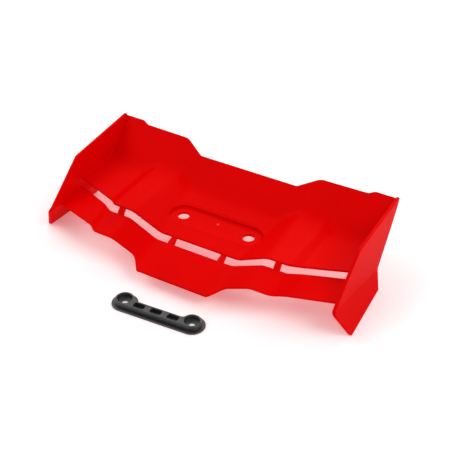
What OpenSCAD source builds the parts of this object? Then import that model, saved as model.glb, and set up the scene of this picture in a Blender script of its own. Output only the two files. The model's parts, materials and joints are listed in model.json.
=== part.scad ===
/* [Mounting pad] */
// Spacing of the two screw holes
hole_spacing = 46; // [40:1:48]
// Diameter of the screw holes in the pad
pad_hole_d = 7.1; // [4:0.1:8]
// Thickness of the pad, whose underside is at z = 0
pad_t = 1.6; // [1.2:0.1:2]
// Radius of the recess ends around the holes
recess_r = 8.6; // [8.3:0.1:9]
// Width of the rim that carries the recess wall
rim_w = 1.4; // [1:0.1:2]

/* [Main plane] */
// Thickness of the deck and slat panels
panel_t = 1.3; // [1.1:0.1:1.6]
// Half of the width between the endplates
half_w = 96.2; // [90:0.1:100]
// Height of the centre deck over the hole line
deck_z = 2.5; // [2.3:0.1:2.9]
// Rise of the centre deck for each millimetre rearward
deck_rise = 0.11; // [0.09:0.01:0.12]
// Height of the raised shoulders
shoulder_z = 10; // [8:0.1:11]
// Height of the outer deck beside the shoulder
outer_low_z = 6.5; // [5.8:0.1:7]
// Height of the outer deck at the endplate
outer_end_z = 8.4; // [7.5:0.1:9]

/* [Kick-up] */
// Distance from the hole line at which the kick-up plane would cross z = 0
kick_y0 = 19.4; // [18:0.1:20.5]
// Rear edge of the kick-up at the middle of the wing
kick_mid_y = 39.8; // [38:0.1:41]
// Rear edge of the kick-up behind the shoulders
kick_shoulder_y = 45.8; // [44:0.1:46.2]
// Rear edge of the kick-up at the endplates
kick_end_y = 47.7; // [47.3:0.1:47.9]

/* [Front slat] */
// Front edge of the nose
nose_y = -51.7; // [-54:0.1:-49]
// Width of the straight front edge of the nose
nose_w = 48.2; // [44:0.1:50]
// Height of the slat below the deck edge at the middle
slat_drop = 1.4; // [1:0.1:2]
// Height of the slat below the edges of the shoulders
shoulder_drop = 3.7; // [3.3:0.1:4.1]

/* [Endplates] */
// Thickness of the endplates
plate_t = 2; // [1.6:0.1:2.4]
// Height of the surface that the wing stands on
floor_z = -16.4; // [-17.5:0.1:-15.5]
// Distance of the front foot of each skirt from the middle
skirt_front_x = 106.8; // [105:0.1:108]
// Distance of the rear foot of each skirt from the middle
skirt_rear_x = 103.2; // [102:0.1:104.5]

/* [Washer plate] */
// Spacing of its two screw holes
washer_spacing = 44.2; // [43.5:0.1:46]
// Height of the washer plate
washer_h = 4.1; // [3.9:0.1:4.6]
// Radius of the bosses around its screw holes
boss_r = 6; // [5.5:0.1:6.4]
// Width of the flange outside the bosses
flange_w = 1.8; // [1.4:0.1:2.2]
// Thickness of the flange
flange_t = 1.1; // [0.9:0.1:1.3]
// Diameter of the seats for the screw heads
seat_d = 9; // [8.4:0.1:9.2]
// Diameter of the screw holes
washer_hole_d = 3.8; // [3.2:0.1:4.5]
// Depth of the screw head seats
seat_depth = 2.8; // [2.5:0.1:3.3]

/* [Hidden] */

wing_red = "#d90d05";
washer_grey = "#3a3a3c";
$fn = 96;

hole_x = hole_spacing / 2;
washer_hole_x = washer_spacing / 2;
rim_r = recess_r + rim_w;
// Reach of the cutting tools beyond the faces they cut
clearance = 10;

// Heights of the centre deck and of the 45 degree kick-up plane
function centre_z(y) = deck_z + deck_rise * y;
function on_kick(x, y) = [x, y, y - kick_y0];
centre_foot_y = (deck_z + kick_y0) / (1 - deck_rise);

// Slot edge of the deck, from the middle outward
slot_y = -20;
slot_mid = [0, slot_y, centre_z(slot_y)];
slot_ramp_foot = [27, slot_y, centre_z(slot_y)];
slot_ramp_top = [46.6, -20.9, shoulder_z];
slot_shoulder = [60.3, -20.9, shoulder_z];
slot_step = [67.4, -14, outer_low_z];
slot_end = [half_w, -5.4, outer_end_z];

// Foot of the kick-up, from the middle outward
foot_ramp_foot = on_kick(34, centre_foot_y);
foot_ramp_top = on_kick(43.6, shoulder_z + kick_y0);
foot_shoulder = on_kick(60.3, shoulder_z + kick_y0);
foot_step = on_kick(66.5, outer_low_z + kick_y0);
foot_end = on_kick(half_w, outer_end_z + kick_y0);

// Rear edge of the kick-up, from the middle outward
kick_step_y = 46.2;
rear_notch = on_kick(34.3, kick_mid_y);
rear_shoulder = on_kick(47.3, kick_shoulder_y);
rear_step_in = on_kick(79, kick_step_y);
rear_step_out = on_kick(82.5, kick_end_y);
rear_end = on_kick(half_w, kick_end_y);

// Rear edge of the slat, ahead of and below the slot edge of the deck
slat_rear_y = -25.6;
slat_mid = [0, slat_rear_y, slot_mid[2] - slat_drop];
slat_ramp_foot = [26.4, slat_rear_y, slot_mid[2] - slat_drop];
slat_ramp_top = [46.4, -23.9, shoulder_z - shoulder_drop];
slat_shoulder = [61.4, -23.9, shoulder_z - shoulder_drop];
slat_step = [69.4, -17.9, 4.8];
slat_end = [half_w, -6.9, 3.9];

// Leading edge of the slat
nose_corner_x = nose_w / 2;
nose_z = -6.4;
nose_corner = [nose_corner_x, nose_y, nose_z];
nose_fold = [28.1, -46.6, -5.9];
lead_ramp_foot = [30.9, -43, -4.4];
lead_ramp_top = [47.3, -42.8, 3.2];
lead_shoulder = [60.7, -42.9, 3.5];
lead_step = [67.6, -36.3, 1.3];
lead_end = [half_w, -28.4, 2.2];

// Lower edge of the endplates as [y, z], where the skirts flare out, and the feet of the skirts
plate_low_front = [-38.4, 1.2];
plate_low_rear = [23.2, -7.5];
skirt_front_y = -30.4;
skirt_rear_y = 14.9;
skirt_slant = 1.1;
// Distances from the ends of that edge at which a skirt begins
skirt_front_in = 3;
skirt_rear_in = 2;

// Side outline of the endplates as [y, z, corner radius]
plate_outline = [[-7.7, 25.6, 3], [plate_low_front[0], plate_low_front[1], 1.5],
                 [plate_low_rear[0], plate_low_rear[1], 1.5], [40, 15, 8], [46.5, 25, 6], [48, 29.3, 0.9]];

// Centres and width of the ribs that bridge the slot
inner_rib_x = 17.3;
inner_rib_w = 3.2;
outer_rib_x = 54.2;
outer_rib_w = 3.8;
// Reach of a rib under the deck, and height of its web behind the slat
rib_reach = 1.9;
rib_h = 3.4;

// Place and size of the three pockets in the washer plate, and where the plate lies
pocket_pitch = 11.05;
pocket_l = 7;
pocket_w = 3.9;
pocket_y = -2.4;
pocket_depth = 3.2;
bar_rear_y = 1.1;
// Groove around the plate between its flange and its top
groove_depth = 1;
groove_top = 2.8;
washer_at = [2.6, -69.4, floor_z];
washer_turn = 3.6;

// Share of the ramp's edge that the outermost corner of the nose takes up
nose_share = 0.2;
// Setback of the lower rear edge of the kick-up
rear_rake = 0.4;
bend = 45;

function along(a, b, share) = a + (b - a) * share;
function down(p) = [p[0], p[1], p[2] - panel_t];
// Underside point below a foot of the kick-up, on the line that splits the bend in half
function under_foot(p) = [p[0], p[1] + panel_t * tan(bend / 2), p[2] - panel_t];
function under_rear(p) = [p[0], p[1] - rear_rake, p[2] - rear_rake - panel_t / cos(bend)];

// Arc of a rounded corner at b between its neighbours a and c
function corner(a, b, c, r, steps = 6) =
    let(u = (a - b) / norm(a - b), v = (c - b) / norm(c - b),
        half = acos(u * v) / 2, mid = (u + v) / norm(u + v),
        centre = b + mid * r / sin(half), turn = 90 - half,
        away = -mid, side = cross([away[0], away[1], 0], [u[0], u[1], 0])[2] > 0 ? 1 : -1)
    [for (i = [0:steps]) let(t = side * turn * (1 - 2 * i / steps))
        centre + r * [away[0] * cos(t) - away[1] * sin(t), away[0] * sin(t) + away[1] * cos(t)]];
function rounded(outline) =
    let(n = len(outline), p = [for (q = outline) [q[0], q[1]]])
    [for (i = [0:n - 1]) each corner(p[(i + n - 1) % n], p[i], p[(i + 1) % n], outline[i][2])];

// Closed panel between an upper and a lower outline with the same number of points
module slab(upper, lower) {
    n = len(upper);
    polyhedron(concat(upper, lower),
        concat([[for (i = [0:n - 1]) i]], [[for (i = [n - 1:-1:0]) n + i]],
            [for (i = [0:n - 1]) [(i + 1) % n, i, n + i]],
            [for (i = [0:n - 1]) [(i + 1) % n, n + i, n + (i + 1) % n]]));
}

// Closed sheet between a front and a rear row of points, seen from above
module strip(front, rear, front_under, rear_under) {
    n = len(front);
    top = function(i) i;
    back = function(i) n + i;
    low = function(i) 2 * n + i;
    low_back = function(i) 3 * n + i;
    last = n - 1;
    polyhedron(concat(front, rear, front_under, rear_under), concat(
        [for (i = [0:last - 1]) each [[top(i), back(i), back(i + 1)], [top(i), back(i + 1), top(i + 1)]]],
        [for (i = [0:last - 1])
            each [[low(i), low_back(i + 1), low_back(i)], [low(i), low(i + 1), low_back(i + 1)]]],
        [for (i = [0:last - 1]) each [[top(i), low(i + 1), low(i)], [top(i), top(i + 1), low(i + 1)]]],
        [for (i = [0:last - 1])
            each [[back(i), low_back(i), low_back(i + 1)], [back(i), low_back(i + 1), back(i + 1)]]],
        [[top(0), low(0), low_back(0)], [top(0), low_back(0), back(0)],
         [top(last), back(last), low_back(last)], [top(last), low_back(last), low(last)]]));
}

function flip(p) = [-p[0], p[1], p[2]];
function drop_to(p, z) = [p[0], p[1], z];
module left() {
    mirror([1, 0, 0]) children();
}

// Pad outline of radius r around both screw holes
module stadium(r) {
    union() {
        for (s = [-1, 1]) translate([s * hole_x, 0]) circle(r);
        translate([-hole_x, -r]) square([hole_spacing, 2 * r]);
    }
}

module pad_column(r) {
    translate([0, 0, -clearance]) linear_extrude(3 * clearance) stadium(r);
}

// Everything between z = 0 and the top of the deck around the pad
module under_deck() {
    front = [flip(slot_ramp_top), flip(slot_ramp_foot), slot_ramp_foot, slot_ramp_top];
    rear = [flip(foot_ramp_top), flip(foot_ramp_foot), foot_ramp_foot, foot_ramp_top];
    strip(front, rear, [for (p = front) drop_to(p, 0)], [for (p = rear) drop_to(p, 0)]);
}

module mount_pad() {
    color(wing_red) difference() {
        intersection() {
            pad_column(rim_r);
            under_deck();
        }
        translate([0, 0, pad_t]) linear_extrude(clearance) stadium(recess_r);
        for (s = [-1, 1]) translate([s * hole_x, 0, -clearance]) cylinder(h = 2 * clearance, d = pad_hole_d);
    }
}

module deck_panel(front, rear) {
    strip(front, rear, [for (p = front) down(p)], [for (p = rear) under_foot(p)]);
}

// The pad is wider than the flat centre deck, so it parts the deck into a front and a rear piece
module centre_deck_half(side) {
    size = 2 * half_w;
    color(wing_red) intersection() {
        difference() {
            deck_panel([flip(slot_ramp_foot), slot_ramp_foot], [flip(foot_ramp_foot), foot_ramp_foot]);
            pad_column(rim_r);
        }
        translate([-half_w, side > 0 ? 0 : -size, -half_w]) cube(size);
    }
}

module front_centre_deck() {
    centre_deck_half(-1);
}

module rear_centre_deck() {
    centre_deck_half(1);
}

module right_shoulder() {
    color(wing_red) difference() {
        deck_panel([slot_ramp_foot, slot_ramp_top, slot_shoulder, slot_step],
            [foot_ramp_foot, foot_ramp_top, foot_shoulder, foot_step]);
        pad_column(rim_r);
    }
}

module right_outer_deck() {
    color(wing_red) deck_panel([slot_step, slot_end], [foot_step, foot_end]);
}

module kick_panel(foot, rear) {
    back = [for (i = [len(rear) - 1:-1:0]) rear[i]];
    slab(concat(back, foot), concat([for (p = back) under_rear(p)], [for (p = foot) under_foot(p)]));
}

module centre_kick_up() {
    color(wing_red) kick_panel([flip(foot_ramp_foot), foot_ramp_foot], [flip(rear_notch), rear_notch]);
}

module right_kick_up() {
    color(wing_red) kick_panel(
        [foot_ramp_foot, foot_ramp_top, foot_shoulder, foot_step, foot_end],
        [rear_notch, rear_shoulder, rear_step_in, rear_step_out, rear_end]);
}

module slat_panel(front, rear) {
    strip(front, rear, [for (p = front) down(p)], [for (p = rear) down(p)]);
}

module nose_slat() {
    color(wing_red) slat_panel([flip(nose_fold), flip(nose_corner), nose_corner, nose_fold],
        [flip(slat_ramp_foot), along(flip(slat_ramp_foot), slat_ramp_foot, nose_share),
         along(slat_ramp_foot, flip(slat_ramp_foot), nose_share), slat_ramp_foot]);
}

module right_shoulder_slat() {
    color(wing_red) slat_panel(
        [nose_fold, lead_ramp_foot, lead_ramp_top, lead_shoulder, lead_step],
        [slat_ramp_foot, along(slat_ramp_foot, slat_ramp_top, nose_share), slat_ramp_top, slat_shoulder,
         slat_step]);
}

module right_outer_slat() {
    color(wing_red) slat_panel([lead_step, lead_end], [slat_step, slat_end]);
}

// Web from the rear edge of the slat to the slot edge of the deck, carried on under the deck
module rib(x, width, slat_edge, deck_edge, rise) {
    under = deck_edge[2] - panel_t;
    web_z = slat_edge[2] - rib_h;
    translate([x - width / 2, 0, 0]) rotate([90, 0, 90]) linear_extrude(width) polygon([
        [slat_edge[1], slat_edge[2]],
        [deck_edge[1], deck_edge[2]],
        [deck_edge[1], under],
        [deck_edge[1] + rib_reach, under + rise * rib_reach],
        [deck_edge[1] - rib_reach, web_z],
        [slat_edge[1], web_z]]);
}

module inner_slot_ribs() {
    color(wing_red) for (s = [-1, 1]) rib(s * inner_rib_x, inner_rib_w, slat_mid, slot_mid, deck_rise);
}

module outer_slot_ribs() {
    share = (outer_rib_x - slot_ramp_top[0]) / (slot_shoulder[0] - slot_ramp_top[0]);
    deck_edge = along(slot_ramp_top, slot_shoulder, share);
    slat_edge = along(slat_ramp_top, slat_shoulder, share);
    color(wing_red) for (s = [-1, 1]) rib(s * outer_rib_x, outer_rib_w, slat_edge, deck_edge, 0);
}

module right_endplate() {
    color(wing_red) translate([half_w, 0, 0]) rotate([90, 0, 90])
        linear_extrude(plate_t) polygon(rounded(plate_outline));
}

// Point at y on the lower edge of the endplate
function plate_low(y) = along(plate_low_front, plate_low_rear,
    (y - plate_low_front[0]) / (plate_low_rear[0] - plate_low_front[0]));

// Panel that flares outward below the endplate and stands on the floor
module right_skirt() {
    inner = half_w;
    outer = half_w + plate_t;
    lean = plate_t * skirt_slant;
    front = plate_low(plate_low_front[0] + skirt_front_in);
    rear = plate_low(plate_low_rear[0] - skirt_rear_in);
    color(wing_red) hull() polyhedron(
        [[inner, front[0], front[1]], [outer, front[0], front[1]],
         [inner, rear[0], rear[1]], [outer, rear[0], rear[1]],
         [skirt_front_x - lean, skirt_front_y, floor_z], [skirt_front_x, skirt_front_y, floor_z],
         [skirt_rear_x - lean, skirt_rear_y, floor_z], [skirt_rear_x, skirt_rear_y, floor_z]],
        [[0, 1, 3, 2], [4, 6, 7, 5], [0, 4, 5, 1], [1, 5, 7, 3], [3, 7, 6, 2], [2, 6, 4, 0]]);
}

module left_shoulder() {
    left() right_shoulder();
}

module left_outer_deck() {
    left() right_outer_deck();
}

module left_kick_up() {
    left() right_kick_up();
}

module left_shoulder_slat() {
    left() right_shoulder_slat();
}

module left_outer_slat() {
    left() right_outer_slat();
}

module left_endplate() {
    left() right_endplate();
}

module left_skirt() {
    left() right_skirt();
}

// Plan of the washer plate: two round bosses joined by a bar along their front
module washer_plan(grow) {
    union() {
        for (s = [-1, 1]) translate([s * washer_hole_x, 0]) circle(boss_r + grow);
        translate([-washer_hole_x, -boss_r - grow])
            square([washer_spacing, boss_r + bar_rear_y + 2 * grow]);
    }
}

module pocket() {
    end_x = (pocket_l - pocket_w) / 2;
    linear_extrude(clearance) union() {
        for (s = [-1, 1]) translate([s * end_x, 0]) circle(d = pocket_w);
        translate([-end_x, -pocket_w / 2]) square([2 * end_x, pocket_w]);
    }
}

module washer_plate() {
    color(washer_grey) translate(washer_at) rotate([0, 0, washer_turn]) difference() {
        union() {
            linear_extrude(flange_t) washer_plan(flange_w);
            linear_extrude(washer_h) washer_plan(-groove_depth);
            translate([0, 0, groove_top]) linear_extrude(washer_h - groove_top) washer_plan(0);
        }
        for (s = [-1, 1]) translate([s * washer_hole_x, 0, 0]) {
            translate([0, 0, -clearance]) cylinder(h = 2 * clearance, d = washer_hole_d);
            translate([0, 0, washer_h - seat_depth]) cylinder(h = clearance, d = seat_d);
        }
        for (i = [-1:1]) translate([i * pocket_pitch, pocket_y, washer_h - pocket_depth]) pocket();
    }
}

mount_pad();
front_centre_deck();
rear_centre_deck();
left_shoulder();
right_shoulder();
left_outer_deck();
right_outer_deck();
centre_kick_up();
left_kick_up();
right_kick_up();
nose_slat();
left_shoulder_slat();
right_shoulder_slat();
left_outer_slat();
right_outer_slat();
inner_slot_ribs();
outer_slot_ribs();
left_endplate();
right_endplate();
left_skirt();
right_skirt();
washer_plate();
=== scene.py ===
import json
import math

import bmesh
import bpy
import numpy as np
from mathutils import Matrix, Vector
from mathutils.geometry import tessellate_polygon


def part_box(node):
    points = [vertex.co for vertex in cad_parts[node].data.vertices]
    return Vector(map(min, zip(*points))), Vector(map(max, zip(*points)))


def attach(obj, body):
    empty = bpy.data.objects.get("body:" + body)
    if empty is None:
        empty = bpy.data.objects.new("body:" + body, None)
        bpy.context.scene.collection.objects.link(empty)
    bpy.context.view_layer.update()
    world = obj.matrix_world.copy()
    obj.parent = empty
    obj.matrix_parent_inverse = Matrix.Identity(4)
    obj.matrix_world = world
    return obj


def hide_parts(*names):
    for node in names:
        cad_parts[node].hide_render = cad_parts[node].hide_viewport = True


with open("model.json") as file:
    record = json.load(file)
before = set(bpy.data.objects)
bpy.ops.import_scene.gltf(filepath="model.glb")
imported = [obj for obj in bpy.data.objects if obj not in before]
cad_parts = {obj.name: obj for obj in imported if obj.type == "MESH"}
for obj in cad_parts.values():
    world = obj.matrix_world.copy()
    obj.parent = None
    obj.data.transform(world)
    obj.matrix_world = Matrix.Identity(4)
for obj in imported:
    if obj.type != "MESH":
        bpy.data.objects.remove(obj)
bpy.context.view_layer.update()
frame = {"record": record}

# Shapes are worked out in millimetres in the row frame, and become metres when a mesh is made.
MM = 0.001
WING_SLOT = "wing_red_plastic"
WASHER_SLOT = "washer_grey_plastic"

# ---------------------------------------------------------------- sizes taken from the frame
mounts = {m["name"]: m for m in frame["record"]["mounts"]}


def box_mm(node):
    low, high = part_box(node)
    return low / MM, high / MM


plate_low, plate_high = box_mm("right_endplate")
skirt_low, skirt_high = box_mm("right_skirt")
pad_low, pad_high = box_mm("mount_pad")
HALF_W = plate_low.x
PLATE_T = plate_high.x - plate_low.x
FLOOR_Z = skirt_low.z
HOLE_X = mounts["screw_holes"]["dims"]["spacing_x_mm"] / 2
HOLE_R = mounts["screw_holes"]["dims"]["hole_r_mm"]
RIM_R = pad_high.y
# Not in the frame: width of the rim round the recess, thickness of the pad and of the other panels
RIM_W = 1.4
RECESS_R = RIM_R - RIM_W
PAD_T = 1.6
PANEL_T = 1.3

# ---------------------------------------------------------------- folds of the wing
SHOULDER_Z = 10.0
OUTER_LOW_Z = 6.5
OUTER_END_Z = 8.4
CENTRE_Z = 2.5
CENTRE_RISE = 0.11
NOSE_Z = -6.4
NOSE_Y = -51.7
SLOT_Y = -20.0
SLAT_REAR_Y = -25.6
SLAT_MID_Z = -1.1
# Where the 45 degree kick-up plane would cross z = 0
KICK_Y0 = 19.4
# Reach to each side of the rounded folds along the ramps, along the steps and at the foot of the kick-up
RAMP_FOLD = 2.6
STEP_FOLD = 1.4
KICK_FOLD = 3.2
FOLDS = [RAMP_FOLD, RAMP_FOLD, STEP_FOLD, STEP_FOLD]


def hinge(u, width):
    """A rounded bend: 0 before -width, u after width and a parabola between."""
    return np.where(u <= -width, 0.0, np.where(u >= width, u, (u + width) ** 2 / (4 * width)))


def bent(x, knots, values, widths):
    """The straight lines through the knots, with the bend at each inner knot rounded over its width."""
    slopes = [(values[i + 1] - values[i]) / (knots[i + 1] - knots[i]) for i in range(len(knots) - 1)]
    y = values[0] + slopes[0] * (x - knots[0])
    for i, width in enumerate(widths, 1):
        y = y + (slopes[i] - slopes[i - 1]) * hinge(x - knots[i], width)
    return y


def mix(a, b, t):
    return a + (b - a) * t


def edge_line(knots, values, folds):
    """A plan edge of the wing, the same on the left and the right."""
    return lambda x: bent(np.abs(x), knots, values, folds)


slot_edge = edge_line([0, 27, 46.6, 60.3, 67.4, HALF_W],
                      [SLOT_Y, SLOT_Y, -20.9, -20.9, -14, -5.4], [1.4, 1.4, 1.6, 1.4])
rear_edge = edge_line([0, 34.3, 47.3, 79, 82.5, HALF_W],
                      [39.8, 39.8, 45.8, 46.2, 47.7, 47.7], [1.2, 2.4, 0.9, 1.1])
slat_rear = edge_line([0, 26.4, 46.4, 61.4, 69.4, HALF_W],
                      [SLAT_REAR_Y, SLAT_REAR_Y, -23.9, -23.9, -17.9, -6.9], [1.4, 1.4, 1.6, 1.4])
lead_edge = edge_line([0, 24.1, 30.9, 47.3, 60.7, 67.6, HALF_W],
                      [NOSE_Y, NOSE_Y, -43, -42.8, -42.9, -36.3, -28.4], [1, 2.8, 2, 2, 1.4])
# The folds of the deck turn a little from the slot at DECK_FRONT_Y over DECK_LENGTH rearward
DECK_FRONT_Y = -21
DECK_LENGTH = 48


def flat_deck(x, y):
    """Height of the deck ahead of the kick-up."""
    t = (y - DECK_FRONT_Y) / DECK_LENGTH
    middle = CENTRE_Z + CENTRE_RISE * y
    knots = [0, mix(27, 34.2, t), mix(46.8, 43.6, t), 60.3, mix(67.2, 66.5, t), HALF_W]
    heights = [middle, middle, SHOULDER_Z, SHOULDER_Z, OUTER_LOW_Z, OUTER_END_Z]
    return bent(np.abs(x), knots, heights, FOLDS)


# Rounds after which the foot of the kick-up no longer moves
FOOT_ROUNDS = 12


def kick_foot(x):
    """Where the deck turns up into the kick-up plane."""
    y = KICK_Y0 + SHOULDER_Z
    for _ in range(FOOT_ROUNDS):
        y = KICK_Y0 + float(flat_deck(x, y))
    return y


def deck_top(x, y):
    deck, kick = flat_deck(x, y), y - KICK_Y0
    near = np.maximum(KICK_FOLD - np.abs(deck - kick), 0) / KICK_FOLD
    return np.maximum(deck, kick) + near ** 2 * KICK_FOLD / 4


def slat_top(x, y):
    """Height of the front slat, whose folds run from its leading edge to the slot."""
    t = (y - lead_edge(x)) / (slat_rear(x) - lead_edge(x))
    middle = mix(SLAT_MID_Z, NOSE_Z, (y - SLAT_REAR_Y) / (NOSE_Y - SLAT_REAR_Y))
    knots = [0, mix(28, 26.4, t), mix(47.3, 46.4, t), mix(60.7, 61.4, t), mix(67.6, 69.4, t), HALF_W]
    heights = [middle, middle, mix(3.2, 6.3, t), mix(3.5, 6.3, t), mix(1.3, 4.8, t), mix(2.2, 3.9, t)]
    return bent(np.abs(x), knots, heights, FOLDS)


# ---------------------------------------------------------------- mesh tools
def finish_mesh(name, bm, material):
    bmesh.ops.recalc_face_normals(bm, faces=bm.faces)
    bmesh.ops.scale(bm, vec=(MM, MM, MM), verts=bm.verts)
    mesh = bpy.data.meshes.new(name)
    bm.to_mesh(mesh)
    bm.free()
    mesh.polygons.foreach_set("use_smooth", [True] * len(mesh.polygons))
    mesh.materials.append(material)
    piece = bpy.data.objects.new(name, mesh)
    bpy.context.scene.collection.objects.link(piece)
    return piece


LARGE_FACE_WEIGHT = 80


def weigh_normals(piece):
    """Keeps flat faces flat beside small rounded edges."""
    shade = piece.modifiers.new("shade", "WEIGHTED_NORMAL")
    shade.weight = LARGE_FACE_WEIGHT
    return piece


def loft(bm, loops, closed=False):
    """Quads through a row of closed loops with the same number of points."""
    rings = [[bm.verts.new(p) for p in loop] for loop in loops]
    n = len(rings[0])
    for a, b in zip(rings, rings[1:]):
        for i in range(n):
            bm.faces.new((a[i], a[(i + 1) % n], b[(i + 1) % n], b[i]))
    if closed:
        bm.faces.new(rings[0])
        bm.faces.new(rings[-1])
    return rings


def fill_between(bm, outer, holes):
    """Flat face from an outer ring of vertices to the rings of its holes."""
    rings = [outer, *holes]
    corners = [v for ring in rings for v in ring]
    for tri in tessellate_polygon([[v.co.copy() for v in ring] for ring in rings]):
        bm.faces.new([corners[i] for i in tri])


def circle_ring(cx, cy, r, z, count=48):
    turns = [2 * math.pi * i / count for i in range(count)]
    return [(cx + r * math.cos(t), cy + r * math.sin(t), z) for t in turns]


CORNER_STEPS = 7


def rounded_outline(points):
    """Closed outline with each (a, b, radius) corner turned by an arc."""
    outline = []
    for i, (a, b, radius) in enumerate(points):
        here = np.array([a, b], float)
        arms = [np.array(points[k][:2], float) - here for k in (i - 1, (i + 1) % len(points))]
        arms = [arm / np.linalg.norm(arm) for arm in arms]
        half = math.acos(float(np.clip(arms[0] @ arms[1], -1, 1))) / 2
        middle = (arms[0] + arms[1]) / np.linalg.norm(arms[0] + arms[1])
        centre = here + middle * radius / math.sin(half)
        start, stop = [here + arm * radius / math.tan(half) - centre for arm in arms]
        first = math.atan2(start[1], start[0])
        turn = (math.atan2(stop[1], stop[0]) - first + math.pi) % (2 * math.pi) - math.pi
        for k in range(CORNER_STEPS + 1):
            t = first + turn * k / CORNER_STEPS
            outline.append(centre + radius * np.array([math.cos(t), math.sin(t)]))
    return np.array(outline)


def inset(outline, distance):
    """The outline moved inward, for an outline that runs anticlockwise."""
    ahead = np.roll(outline, -1, 0) - outline
    ahead /= np.linalg.norm(ahead, axis=1)[:, None]
    normals = np.stack([-ahead[:, 1], ahead[:, 0]], 1)
    corner = normals + np.roll(normals, 1, 0)
    return outline + corner * distance / (1 + np.sum(normals * np.roll(normals, 1, 0), 1))[:, None]


# ---------------------------------------------------------------- deck and slat sheets
# How far a rim bulges, the steps round it, and a power below 1 that squares it up
RIM_BULGE = 0.4
RIM_STEPS = 8
RIM_SQUARE = 0.6
COLUMN_STEP = 0.7
# Fillet where a sheet meets an endplate, which fades out toward the rear rim
JOIN_R = 0.8
JOIN_STEPS = 6
INTO_PLATE = 0.6
RISE_FADE = 4.0
# Rows across the deck: ahead of the fold at the kick-up, in the fold and behind it
ROWS_AHEAD = 40
ROWS_IN_FOLD = 14
ROWS_BEHIND = 16
FOLD_REACH = KICK_FOLD * 1.15
SLAT_ROWS = 34


def span_columns():
    """Places along the span, and how far the fillet beside the endplate stands up at each."""
    flat_to = HALF_W - JOIN_R
    columns = [(x, 0.0) for x in np.linspace(-flat_to, flat_to, int(2 * flat_to / COLUMN_STEP))]
    turns = [math.pi / 2 * i / JOIN_STEPS for i in range(1, JOIN_STEPS + 1)]
    ends = [(flat_to + JOIN_R * math.sin(t), JOIN_R * (1 - math.cos(t))) for t in turns]
    ends.append((HALF_W + INTO_PLATE, JOIN_R))
    return [(-x, rise) for x, rise in reversed(ends)] + columns + ends


def squared(value):
    return math.copysign(abs(value) ** RIM_SQUARE, value)


def sheet_section(x, rise, rows, top):
    """Closed section of a sheet at x: its top, rear rim, underside and front rim. The rims stand
    upright, the way the mould opens."""
    y = np.array(rows)
    z = top(np.full_like(y, x), y)
    stretch = np.hypot(1, np.gradient(z, y))
    rise = rise * np.clip((y[-1] - y) / RISE_FADE, 0, 1)
    upper = np.stack([y, z + rise * stretch], 1)
    lower = np.stack([y, z - (PANEL_T + rise) * stretch], 1)

    def rim(i, way):
        middle, half = (upper[i] + lower[i]) / 2, (upper[i][1] - lower[i][1]) / 2
        turns = [math.pi * k / RIM_STEPS for k in range(1, RIM_STEPS)]
        return [middle + np.array([way * RIM_BULGE * squared(math.sin(t)), half * squared(math.cos(t))])
                for t in turns]

    loop = [*upper, *rim(-1, 1), *lower[::-1], *rim(0, -1)[::-1]]
    return [(x, p[0], p[1]) for p in loop]


def make_sheet(name, rows_at, top, material):
    bm = bmesh.new()
    loft(bm, [sheet_section(x, rise, rows_at(x), top) for x, rise in span_columns()], closed=True)
    return finish_mesh(name, bm, material)


def deck_rows(x):
    """Rows across the deck at x, closer together where it bends up into the kick-up."""
    start, end = float(slot_edge(x)) + RIM_BULGE, float(rear_edge(x)) - RIM_BULGE
    foot = kick_foot(x)
    return [*np.linspace(start, foot - FOLD_REACH, ROWS_AHEAD, endpoint=False),
            *np.linspace(foot - FOLD_REACH, foot + FOLD_REACH, ROWS_IN_FOLD, endpoint=False),
            *np.linspace(foot + FOLD_REACH, end, ROWS_BEHIND)]


def slat_rows(x):
    return np.linspace(float(lead_edge(x)) + RIM_BULGE, float(slat_rear(x)) - RIM_BULGE, SLAT_ROWS)


# ---------------------------------------------------------------- mounting pad
ARC_STEPS = 40
STRAIGHT_STEPS = 44
PAD_EDGE = 0.25
# Recess wall, as the distance outward and the share of the way up from the pad to the deck
WALL_STEPS = ((-0.6, 0), (-0.3, 0.03), (-0.12, 0.16), (-0.04, 0.34), (0.04, 0.66), (0.12, 0.84), (0.3, 0.97),
              (0.6, 1))


def stadium_ring(radius, height):
    """Ring around both screw holes; height is a number or a function of x and y."""
    points = []
    for side in (1, -1):
        for i in range(ARC_STEPS + 1):
            turn = math.pi * (0.5 - i / ARC_STEPS) + (0 if side > 0 else math.pi)
            points.append((side * HOLE_X + radius * math.cos(turn), radius * math.sin(turn)))
        for i in range(1, STRAIGHT_STEPS):
            points.append((side * HOLE_X * (1 - 2 * i / STRAIGHT_STEPS), -side * radius))
    return [(x, y, height(x, y) if callable(height) else height) for x, y in points]


def pad_height(share):
    """Part of the way up the recess wall, from the floor of the pad to the deck."""
    return lambda x, y: mix(PAD_T, float(deck_top(x, y)), share)


# Wall of a screw hole in the pad, as the distance outward and the height
PAD_BORE = [(0.3, PAD_T), (0.08, PAD_T - 0.06), (0, PAD_T - 0.25), (0, 0.25), (0.1, 0.06), (0.3, 0)]


def make_pad(material):
    bm = bmesh.new()
    loops = [stadium_ring(RIM_R - PAD_EDGE, 0), stadium_ring(RIM_R, PAD_EDGE),
             stadium_ring(RIM_R, lambda x, y: float(deck_top(x, y)) - 0.08),
             stadium_ring(RIM_R - 0.1, lambda x, y: float(deck_top(x, y)) + 0.01)]
    loops += [stadium_ring(RECESS_R + out, pad_height(share)) for out, share in reversed(WALL_STEPS)]
    rings = loft(bm, loops)
    tops, feet = [], []
    for side in (-1, 1):
        ring = loft(bm, [circle_ring(side * HOLE_X, 0, HOLE_R + out, z) for out, z in PAD_BORE])
        tops.append(ring[0])
        feet.append(ring[-1])
    fill_between(bm, rings[-1], tops)
    fill_between(bm, rings[0], feet)
    return weigh_normals(finish_mesh("mounting_pad", bm, material))


PAD_LAP = 0.15
CUTTER_REACH = 20


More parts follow.
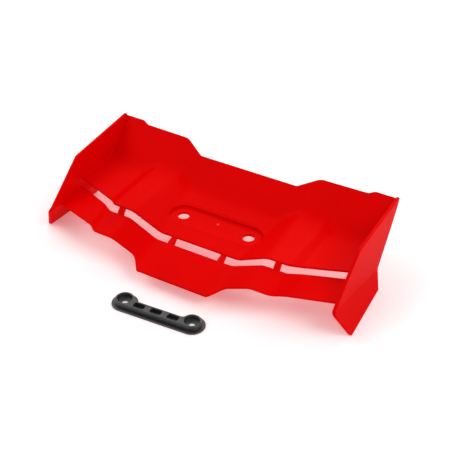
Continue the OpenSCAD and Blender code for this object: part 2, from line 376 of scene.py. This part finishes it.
def open_seat(deck):
    """Cuts the deck away inside the outline of the pad."""
    bm = bmesh.new()
    loft(bm, [stadium_ring(RIM_R - PAD_LAP, z) for z in (-CUTTER_REACH, CUTTER_REACH)], closed=True)
    cutter = finish_mesh("pad_cutter", bm, deck.data.materials[0])
    cut = deck.modifiers.new("cut", "BOOLEAN")
    cut.operation, cut.solver, cut.object = "DIFFERENCE", "EXACT", cutter
    bpy.context.view_layer.update()
    opened = bpy.data.meshes.new_from_object(deck.evaluated_get(bpy.context.evaluated_depsgraph_get()))
    deck.modifiers.clear()
    deck.data = opened
    bpy.data.objects.remove(cutter)


GATE_AT = (0.2, 2.3)
GATE_FOOT_Z = PAD_T - 0.05
GATE_SIDES = 24
GATE_PROFILE = [(0.95, 0), (0.8, 0.14), (0.72, 0.3), (0.58, 0.38), (0.3, 0.41), (0.1, 0.42)]


def make_gate_mark(material):
    """Small trimmed stub where the moulding was filled."""
    bm = bmesh.new()
    rings = loft(bm, [circle_ring(*GATE_AT, r, GATE_FOOT_Z + z, GATE_SIDES) for r, z in GATE_PROFILE])
    bm.faces.new(rings[0])
    bm.faces.new(rings[-1])
    return finish_mesh("gate_mark", bm, material)


# ---------------------------------------------------------------- ribs
RIB_REACH = 1.9
RIB_DEPTH = 3.4
RIB_LAP = 0.9
RIB_ROUND = 0.35
# Distance from the middle and width of each pair of ribs
INNER_RIB = (17.3, 3.2)
OUTER_RIB = (54.2, 3.8)


def make_ribs(name, rib, material):
    """A pair of ribs across the slot, their tops a little below slat and deck, with a deep web under them."""
    bm = bmesh.new()
    rib_x, rib_w = rib
    for x in (-rib_x, rib_x):
        front, back = float(slat_rear(x)), float(slot_edge(x))
        low, high = float(slat_top(x, front)), float(deck_top(x, back))
        under = high - PANEL_T
        profile = [(front - RIB_LAP, low - 0.15), (front, low - 0.1), (back, high - 0.5),
                   (back + RIB_LAP, high - 0.5), (back + RIB_LAP, under),
                   (back + RIB_REACH, under - 0.1), (back - RIB_REACH, low - RIB_DEPTH),
                   (front + 0.3, low - RIB_DEPTH + 0.3), (front - RIB_LAP, low - PANEL_T + 0.05)]
        loft(bm, [[(x + half, y, z) for y, z in profile] for half in (-rib_w / 2, rib_w / 2)], closed=True)
    piece = finish_mesh(name, bm, material)
    bevel = piece.modifiers.new("round", "BEVEL")
    bevel.width = RIB_ROUND * MM
    bevel.segments = 3
    bevel.limit_method = "ANGLE"
    bevel.angle_limit = math.radians(25)
    return weigh_normals(piece)


# ---------------------------------------------------------------- endplates
CREASE_FRONT = np.array([-37.2, 2.6])
CREASE_REAR = np.array([23.2, -7.5])
# Corners of the side outline, each with its radius
PLATE_OUTLINE = [(-7.7, 25.6, 3), (-38.4, 1.2, 3), (-30.4, FLOOR_Z, 2.2), (14.9, FLOOR_Z, 1.4),
                 (*CREASE_REAR, 1.5), (40.0, 15, 8), (46.5, 25, 6), (48, 29.3, 0.9)]
# How far a skirt leans outward for each millimetre down
FLARE = 0.48
# Reach above and below the crease of its rounded fold, the cuts spread over the fold, and how much
# lower the fold ends on the inner side
CREASE_FOLD = 0.9
CREASE_LINES = 7
INNER_DROP = 0.45
PLATE_ROUND = 0.55
ROUND_STEPS = 4


def crease_drop(y, z):
    """How far a point of the endplate lies below the crease."""
    line = mix(CREASE_FRONT[1], CREASE_REAR[1], (y - CREASE_FRONT[0]) / (CREASE_REAR[0] - CREASE_FRONT[0]))
    return line - z


def make_endplate(name, side, material):
    """An endplate and the skirt that flares out below its crease, bent from one plate."""
    bm = bmesh.new()
    outline = rounded_outline(PLATE_OUTLINE)
    turns = [math.pi / 2 * i / ROUND_STEPS for i in range(ROUND_STEPS + 1)]
    rounds = [(PLATE_ROUND * (1 - math.sin(t)), PLATE_ROUND * (1 - math.cos(t))) for t in turns]
    depths = rounds + [(ins, PLATE_T - depth) for ins, depth in reversed(rounds)]
    loft(bm, [[(depth, y, z) for y, z in inset(outline, ins)] for ins, depth in depths], closed=True)
    along = CREASE_REAR - CREASE_FRONT
    normal = Vector((0, -along[1], along[0])).normalized()
    for drop in np.linspace(-CREASE_FOLD, CREASE_FOLD + INNER_DROP, CREASE_LINES):
        at = Vector((0, CREASE_FRONT[0], CREASE_FRONT[1] - drop))
        bmesh.ops.bisect_plane(bm, geom=bm.verts[:] + bm.edges[:] + bm.faces[:], plane_co=at, plane_no=normal)
    # The inner side folds a little lower, so that the skirt is as thick as the plate
    inner_shift = (math.hypot(1, FLARE) - 1) / FLARE
    for v in bm.verts:
        depth, y, z = v.co
        fold = float(hinge(crease_drop(y, z) - inner_shift * depth, CREASE_FOLD))
        v.co.x = side * (HALF_W + PLATE_T - depth + FLARE * fold)
    return weigh_normals(finish_mesh(name, bm, material))


# ---------------------------------------------------------------- washer plate
WASHER_HOLE_X = mounts["washer_holes"]["dims"]["pcd_mm"] / 2
WASHER_H = 4.1
BOSS_R = 6.0
BAR_REAR_Y = 1.1
FLANGE_W = 1.8
WAIST_R = 2.2
SEAT_R = 4.5
SEAT_DEPTH = 2.8
WASHER_HOLE_R = mounts["washer_holes"]["dims"]["hole_r_mm"]
POCKET_PITCH = 11.05
POCKET_L = 7.0
POCKET_W = 3.9
POCKET_Y = -2.4
POCKET_DEPTH = 3.2
POCKET_CORNER = 1.1
WASHER_TURN = 3.6
# Outside of the plate from the underside up, as the distance out from the bosses and the height:
# flange, groove, and the rounded top edge
WASHER_PROFILE = [(FLANGE_W - 0.2, 0), (FLANGE_W, 0.2), (FLANGE_W, 0.8), (FLANGE_W - 0.15, 1.02),
                  (FLANGE_W - 0.4, 1.1), (-0.6, 1.12), (-0.9, 1.2), (-1.0, 1.45), (-1.0, 2.6), (-0.9, 2.76),
                  (-0.4, 2.8), (-0.05, 2.88), (0, 3.0), (0, 3.2), (-0.08, 3.35), (-0.45, 3.9), (-0.58, 4.04),
                  (-0.8, WASHER_H)]
# Wall of a screw hole from the top down, as the radius and the height
SEAT_Z = WASHER_H - SEAT_DEPTH
WASHER_BORE = [(SEAT_R + 0.3, WASHER_H), (SEAT_R + 0.08, WASHER_H - 0.08), (SEAT_R, WASHER_H - 0.3),
               (SEAT_R - 0.12, SEAT_Z + 0.25), (SEAT_R - 0.35, SEAT_Z), (WASHER_HOLE_R + 0.2, SEAT_Z),
               (WASHER_HOLE_R, SEAT_Z - 0.2), (WASHER_HOLE_R, 0.2), (WASHER_HOLE_R + 0.2, 0)]
# Wall of a pocket from the top down, as the distance outward and the height
POCKET_Z = WASHER_H - POCKET_DEPTH
POCKET_WALL = [(0.25, WASHER_H), (0.06, WASHER_H - 0.07), (0, WASHER_H - 0.25), (-0.12, POCKET_Z + 0.3),
               (-0.35, POCKET_Z)]
BOSS_STEPS = 36
WAIST_STEPS = 12
REAR_STEPS = 16
FRONT_STEPS = 24
POCKET_CORNER_STEPS = 7


def washer_ring(grow, z):
    """Plan of the washer plate grown outward: two bosses joined by a bar along their front. The
    waists between bosses and bar get tighter as the plan grows."""
    radius, waist = BOSS_R + grow, WAIST_R - grow * 0.4
    rear_y = BAR_REAR_Y + grow
    reach = math.sqrt((radius + waist) ** 2 - (rear_y + waist) ** 2)
    fillet_x, fillet_y = WASHER_HOLE_X - reach, rear_y + waist
    touch = math.atan2(fillet_y, -reach)
    front = -math.pi / 2
    right = []
    for i in range(BOSS_STEPS + 1):
        t = mix(front, touch, i / BOSS_STEPS)
        right.append((WASHER_HOLE_X + radius * math.cos(t), radius * math.sin(t)))
    for i in range(1, WAIST_STEPS + 1):
        t = mix(touch - math.pi, front, i / WAIST_STEPS)
        right.append((fillet_x + waist * math.cos(t), fillet_y + waist * math.sin(t)))
    left = [(-x, y) for x, y in reversed(right)]
    rear_edge_row = [(mix(fillet_x, -fillet_x, i / REAR_STEPS), rear_y) for i in range(1, REAR_STEPS)]
    front_edge_row = [(mix(-WASHER_HOLE_X, WASHER_HOLE_X, i / FRONT_STEPS), -radius)
                      for i in range(1, FRONT_STEPS)]
    return [(x, y, z) for x, y in [*right, *rear_edge_row, *left, *front_edge_row]]


def pocket_ring(cx, grow, z):
    r = POCKET_CORNER + grow
    reach_x, reach_y = POCKET_L / 2 + grow - r, POCKET_W / 2 + grow - r
    points = []
    for k, (sx, sy) in enumerate(((1, 1), (-1, 1), (-1, -1), (1, -1))):
        for i in range(POCKET_CORNER_STEPS + 1):
            t = math.pi / 2 * (k + i / POCKET_CORNER_STEPS)
            points.append((cx + sx * reach_x + r * math.cos(t), POCKET_Y + sy * reach_y + r * math.sin(t), z))
    return points


def make_washer(material):
    bm = bmesh.new()
    rings = loft(bm, [washer_ring(grow, z) for grow, z in WASHER_PROFILE])
    tops, feet = [], []
    for x in (-WASHER_HOLE_X, WASHER_HOLE_X):
        ring = loft(bm, [circle_ring(x, 0, r, z) for r, z in WASHER_BORE])
        tops.append(ring[0])
        feet.append(ring[-1])
    for x in (-POCKET_PITCH, 0, POCKET_PITCH):
        ring = loft(bm, [pocket_ring(x, grow, z) for grow, z in POCKET_WALL])
        bm.faces.new(ring[-1])
        tops.append(ring[0])
    fill_between(bm, rings[-1], tops)
    fill_between(bm, rings[0], feet)
    at = mounts["washer_holes"]["pos_m"]
    turn = Matrix.Rotation(math.radians(WASHER_TURN), 4, "Z")
    bmesh.ops.transform(bm, matrix=Matrix.Translation(Vector(at) / MM) @ turn, verts=bm.verts)
    return weigh_normals(finish_mesh("washer_plate_body", bm, material))


# ---------------------------------------------------------------- materials
def new_material(name):
    material = bpy.data.materials.new(name)
    material.use_nodes = True
    nodes = material.node_tree.nodes
    return material, nodes, material.node_tree.links, nodes["Principled BSDF"]


# Noise scales, bump heights in metres and bump strength, shared by all the plastics
CLOUD_SCALE = 24
GLOSS_SCALE = 340
COARSE_BUMP = 0.00012
FINE_BUMP = 0.000035
BUMP_STRENGTH = 0.35


def moulded_plastic(name, deep, pale, roughness, grain, specular, see_through=0.0):
    """Injection-moulded nylon: slightly uneven colour and gloss, and a fine texture from the tool.
    see_through is the share of light that a thin panel lets on to its other side."""
    material, nodes, links, shader = new_material(name)
    at = nodes.new("ShaderNodeTexCoord")

    def noise(scale, detail, rough=0.5):
        node = nodes.new("ShaderNodeTexNoise")
        node.inputs["Scale"].default_value = scale
        node.inputs["Detail"].default_value = detail
        node.inputs["Roughness"].default_value = rough
        links.new(at.outputs["Object"], node.inputs["Vector"])
        return node

    def ramp(source, *stops):
        node = nodes.new("ShaderNodeValToRGB")
        for element, (position, color) in zip(node.color_ramp.elements, stops):
            element.position, element.color = position, (*color, 1)
        links.new(source.outputs["Fac"], node.inputs["Fac"])
        return node

    cloud = ramp(noise(CLOUD_SCALE, 3), (0.35, deep), (0.72, pale))
    links.new(cloud.outputs["Color"], shader.inputs["Base Color"])
    low, high = roughness
    gloss = ramp(noise(GLOSS_SCALE, 4, 0.6), (0.3, (low,) * 3), (0.75, (high,) * 3))
    links.new(gloss.outputs["Color"], shader.inputs["Roughness"])
    fine, coarse = noise(grain, 2), noise(grain / 9, 3)
    bump_fine, bump_coarse = nodes.new("ShaderNodeBump"), nodes.new("ShaderNodeBump")
    for bump, source, height in ((bump_coarse, coarse, COARSE_BUMP), (bump_fine, fine, FINE_BUMP)):
        bump.inputs["Distance"].default_value = height
        bump.inputs["Strength"].default_value = BUMP_STRENGTH
        links.new(source.outputs["Fac"], bump.inputs["Height"])
    links.new(bump_coarse.outputs["Normal"], bump_fine.inputs["Normal"])
    links.new(bump_fine.outputs["Normal"], shader.inputs["Normal"])
    shader.inputs["Specular IOR Level"].default_value = specular
    if see_through > 0:
        through, both = nodes.new("ShaderNodeBsdfTranslucent"), nodes.new("ShaderNodeMixShader")
        links.new(cloud.outputs["Color"], through.inputs["Color"])
        both.inputs["Fac"].default_value = see_through
        links.new(shader.outputs["BSDF"], both.inputs[1])
        links.new(through.outputs["BSDF"], both.inputs[2])
        links.new(both.outputs["Shader"], nodes["Material Output"].inputs["Surface"])
    return material


# ---------------------------------------------------------------- stage
FLOOR_REACH = 12000
# The table glows a little by itself in pink, though it is no lamp: painted light that tints the shadows pink
# like light bounced off the red wing; where it is fully lit it stays white
FLOOR_PAINTED_GLOW = (1.0, 0.68, 0.7, 1)
FLOOR_PAINTED_GLOW_STRENGTH = 0.235


def make_floor():
    material, _, _, shader = new_material("studio_white")
    shader.inputs["Base Color"].default_value = (0.95, 0.95, 0.95, 1)
    shader.inputs["Roughness"].default_value = 0.9
    shader.inputs["Emission Color"].default_value = FLOOR_PAINTED_GLOW
    shader.inputs["Emission Strength"].default_value = FLOOR_PAINTED_GLOW_STRENGTH
    bm = bmesh.new()
    bmesh.ops.create_grid(bm, x_segments=1, y_segments=1, size=FLOOR_REACH)
    bmesh.ops.translate(bm, vec=(0, 0, FLOOR_Z), verts=bm.verts)
    finish_mesh("studio_floor", bm, material)


# Each softbox: name, azimuth (0 behind the wing, 90 on its right), elevation, watts
SOFTBOXES = [("back", 0, 25, 99), ("back_left", -40, 45, 29), ("right", 90, 45, 92), ("left", -90, 45, 58),
             ("front_left", -140, 45, 41)]
SOFTBOX_DISTANCE = 4.8
SOFTBOX_SIZE = 2.8
SKY_STRENGTH = 0.3


def make_lights():
    world = bpy.data.worlds.new("studio")
    world.use_nodes = True
    sky = world.node_tree.nodes["Background"]
    sky.inputs["Color"].default_value = (1, 1, 1, 1)
    sky.inputs["Strength"].default_value = SKY_STRENGTH
    bpy.context.scene.world = world
    for name, azimuth, elevation, watts in SOFTBOXES:
        lamp = bpy.data.lights.new(name, "AREA")
        lamp.shape = "SQUARE"
        lamp.size = SOFTBOX_SIZE
        lamp.energy = watts
        a, e = math.radians(azimuth), math.radians(elevation)
        out = Vector((math.sin(a) * math.cos(e), math.cos(a) * math.cos(e), math.sin(e)))
        holder = bpy.data.objects.new(name, lamp)
        holder.location = out * SOFTBOX_DISTANCE
        holder.rotation_mode = "QUATERNION"
        holder.rotation_quaternion = (-out).to_track_quat("-Z", "Y")
        bpy.context.scene.collection.objects.link(holder)
    bpy.context.scene.view_settings.view_transform = "Standard"


# The camera stands to the right of the front and looks down 36 degrees
CAMERA_AT = (0.27707, -0.46206, 0.3941)
CAMERA_LOOKS = Vector((-0.40876, 0.69816, -0.58779))
LENS_MM = 87.36
SENSOR_MM = 36


def make_camera():
    camera = bpy.data.cameras.new("camera")
    camera.lens, camera.sensor_width = LENS_MM, SENSOR_MM
    camera.clip_start, camera.clip_end = 0.01, 20
    holder = bpy.data.objects.new("camera", camera)
    holder.location = CAMERA_AT
    holder.rotation_mode = "QUATERNION"
    holder.rotation_quaternion = CAMERA_LOOKS.to_track_quat("-Z", "Y")
    bpy.context.scene.collection.objects.link(holder)
    bpy.context.scene.camera = holder


# ---------------------------------------------------------------- the object
def place(piece, body, slot, *nodes):
    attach(piece, body)
    if nodes:
        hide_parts(*nodes)


red = moulded_plastic("red_nylon", deep=(0.83, 0.0, 0.0), pale=(0.89, 0.0, 0.0), roughness=(0.36, 0.48),
                      grain=5200, specular=0.02, see_through=0.18)
grey = moulded_plastic("grey_nylon", deep=(0.015, 0.015, 0.016), pale=(0.026, 0.026, 0.028),
                       roughness=(0.34, 0.5), grain=4200, specular=0.8)
# The gate stub is a paler red than the wing: a painted highlight for the light its small bump catches.
gate_highlight_red = moulded_plastic("trimmed_gate_painted_highlight", deep=(0.8, 0.06, 0.05), pale=(0.88, 0.1, 0.09),
                           roughness=(0.5, 0.7), grain=5200, specular=0.3)

deck = make_sheet("wing_deck", deck_rows, deck_top, red)
open_seat(deck)
place(deck, "wing", WING_SLOT, "front_centre_deck", "rear_centre_deck", "left_shoulder", "right_shoulder",
      "left_outer_deck", "right_outer_deck", "centre_kick_up", "left_kick_up", "right_kick_up")
place(make_sheet("front_slat", slat_rows, slat_top, red), "wing", WING_SLOT, "nose_slat",
      "left_shoulder_slat", "right_shoulder_slat", "left_outer_slat", "right_outer_slat")
place(make_pad(red), "wing", WING_SLOT, "mount_pad")
place(make_gate_mark(gate_highlight_red), "wing", WING_SLOT)
place(make_ribs("inner_ribs", INNER_RIB, red), "wing", WING_SLOT, "inner_slot_ribs")
place(make_ribs("outer_ribs", OUTER_RIB, red), "wing", WING_SLOT, "outer_slot_ribs")
for side, word in ((-1, "left"), (1, "right")):
    place(make_endplate(word + "_end", side, red), "wing", WING_SLOT, word + "_endplate", word + "_skirt")
place(make_washer(grey), "washer", WASHER_SLOT, "washer_plate")

make_floor()
make_lights()
make_camera()
